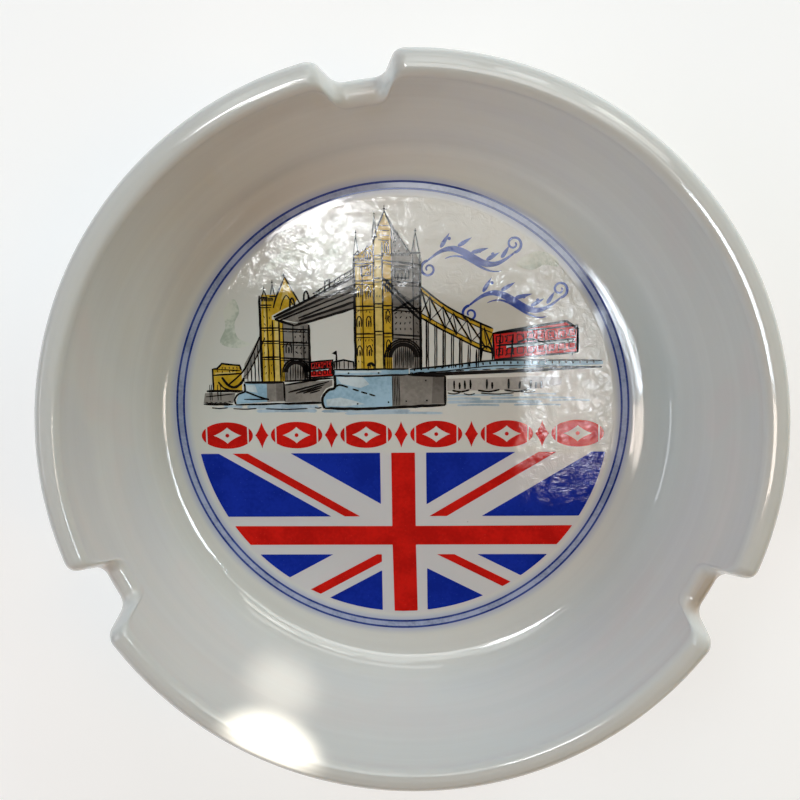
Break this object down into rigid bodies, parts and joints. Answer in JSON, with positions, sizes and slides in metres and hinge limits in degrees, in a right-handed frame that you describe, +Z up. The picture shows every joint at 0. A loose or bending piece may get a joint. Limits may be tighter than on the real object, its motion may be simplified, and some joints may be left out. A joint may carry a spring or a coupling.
{
  "type": "souvenir dish",
  "caption": "Round white glazed porcelain smoker's dish: thick lip with cigarette rests, foot ring, and an enamel print of a flag and a river bridge on its flat floor.",
  "frame": {"origin": "centre of the plane that the foot ring rests on", "axes": "+Z up along the dish's axis, +Y towards the top of the print, +X towards its right"},
  "size_m": [0.14, 0.14, 0.0325],
  "materials": {
    "porcelain": "glossy white glaze over porcelain, bare and matt on the foot ring",
    "cobalt_line": "fired cobalt blue enamel, glossy",
    "cobalt_tint": "fired pale blue enamel, glossy",
    "enamel_red": "fired red enamel, glossy",
    "enamel_blue": "fired dark blue enamel, glossy",
    "enamel_ochre": "fired ochre enamel, glossy",
    "enamel_grey": "fired grey enamel, glossy",
    "enamel_pale_blue": "fired pale blue enamel, glossy",
    "enamel_green": "fired pale green enamel, glossy",
    "enamel_black": "fired black enamel, glossy"
  },
  "bodies": {
    "root": {"border_band": "cobalt_tint", "border_line_inner": "cobalt_line", "border_line_outer": "cobalt_line", "cloud_high": "enamel_green", "cloud_left": "enamel_green", "cloud_right": "enamel_green", "deck_girder": "enamel_black", "dish_body": "porcelain", "domed_hall": "enamel_pale_blue", "embankment": "enamel_grey", "far_bus": "enamel_red", "far_chain": "enamel_grey", "far_pier_light": "enamel_pale_blue", "far_pier_shade": "enamel_grey", "far_tower_front": "enamel_ochre", "far_tower_side": "enamel_grey", "flag_cross": "enamel_red", "flag_lower_left_inner_field": "enamel_blue", "flag_lower_left_outer_field": "enamel_blue", "flag_lower_left_stripe": "enamel_red", "flag_lower_right_inner_field": "enamel_blue", "flag_lower_right_outer_field": "enamel_blue", "flag_lower_right_stripe": "enamel_red", "flag_upper_left_inner_field": "enamel_blue", "flag_upper_left_outer_field": "enamel_blue", "flag_upper_left_stripe": "enamel_red", "flag_upper_right_inner_field": "enamel_blue", "flag_upper_right_outer_field": "enamel_blue", "flag_upper_right_stripe": "enamel_red", "flourish_lower": "cobalt_line", "flourish_upper": "cobalt_line", "frieze_bead_1": "enamel_red", "frieze_bead_2": "enamel_red", "frieze_bead_3": "enamel_red", "frieze_bead_4": "enamel_red", "frieze_bead_5": "enamel_red", "frieze_bead_6": "enamel_red", "frieze_dart_1": "enamel_red", "frieze_dart_2": "enamel_red", "frieze_dart_3": "enamel_red", "frieze_dart_4": "enamel_red", "frieze_dart_5": "enamel_red", "high_walkway": "enamel_grey", "near_bus": "enamel_red", "near_chain": "enamel_ochre", "near_pier_cap": "enamel_pale_blue", "near_pier_light": "enamel_pale_blue", "near_pier_shade": "enamel_grey", "near_tower_front": "enamel_ochre", "near_tower_side": "enamel_grey", "quay": "enamel_grey", "quay_house": "enamel_ochre", "river_front": "enamel_pale_blue", "river_right": "enamel_pale_blue", "road_deck": "enamel_pale_blue", "roadway": "enamel_grey"}
  },
  "joints": []
}
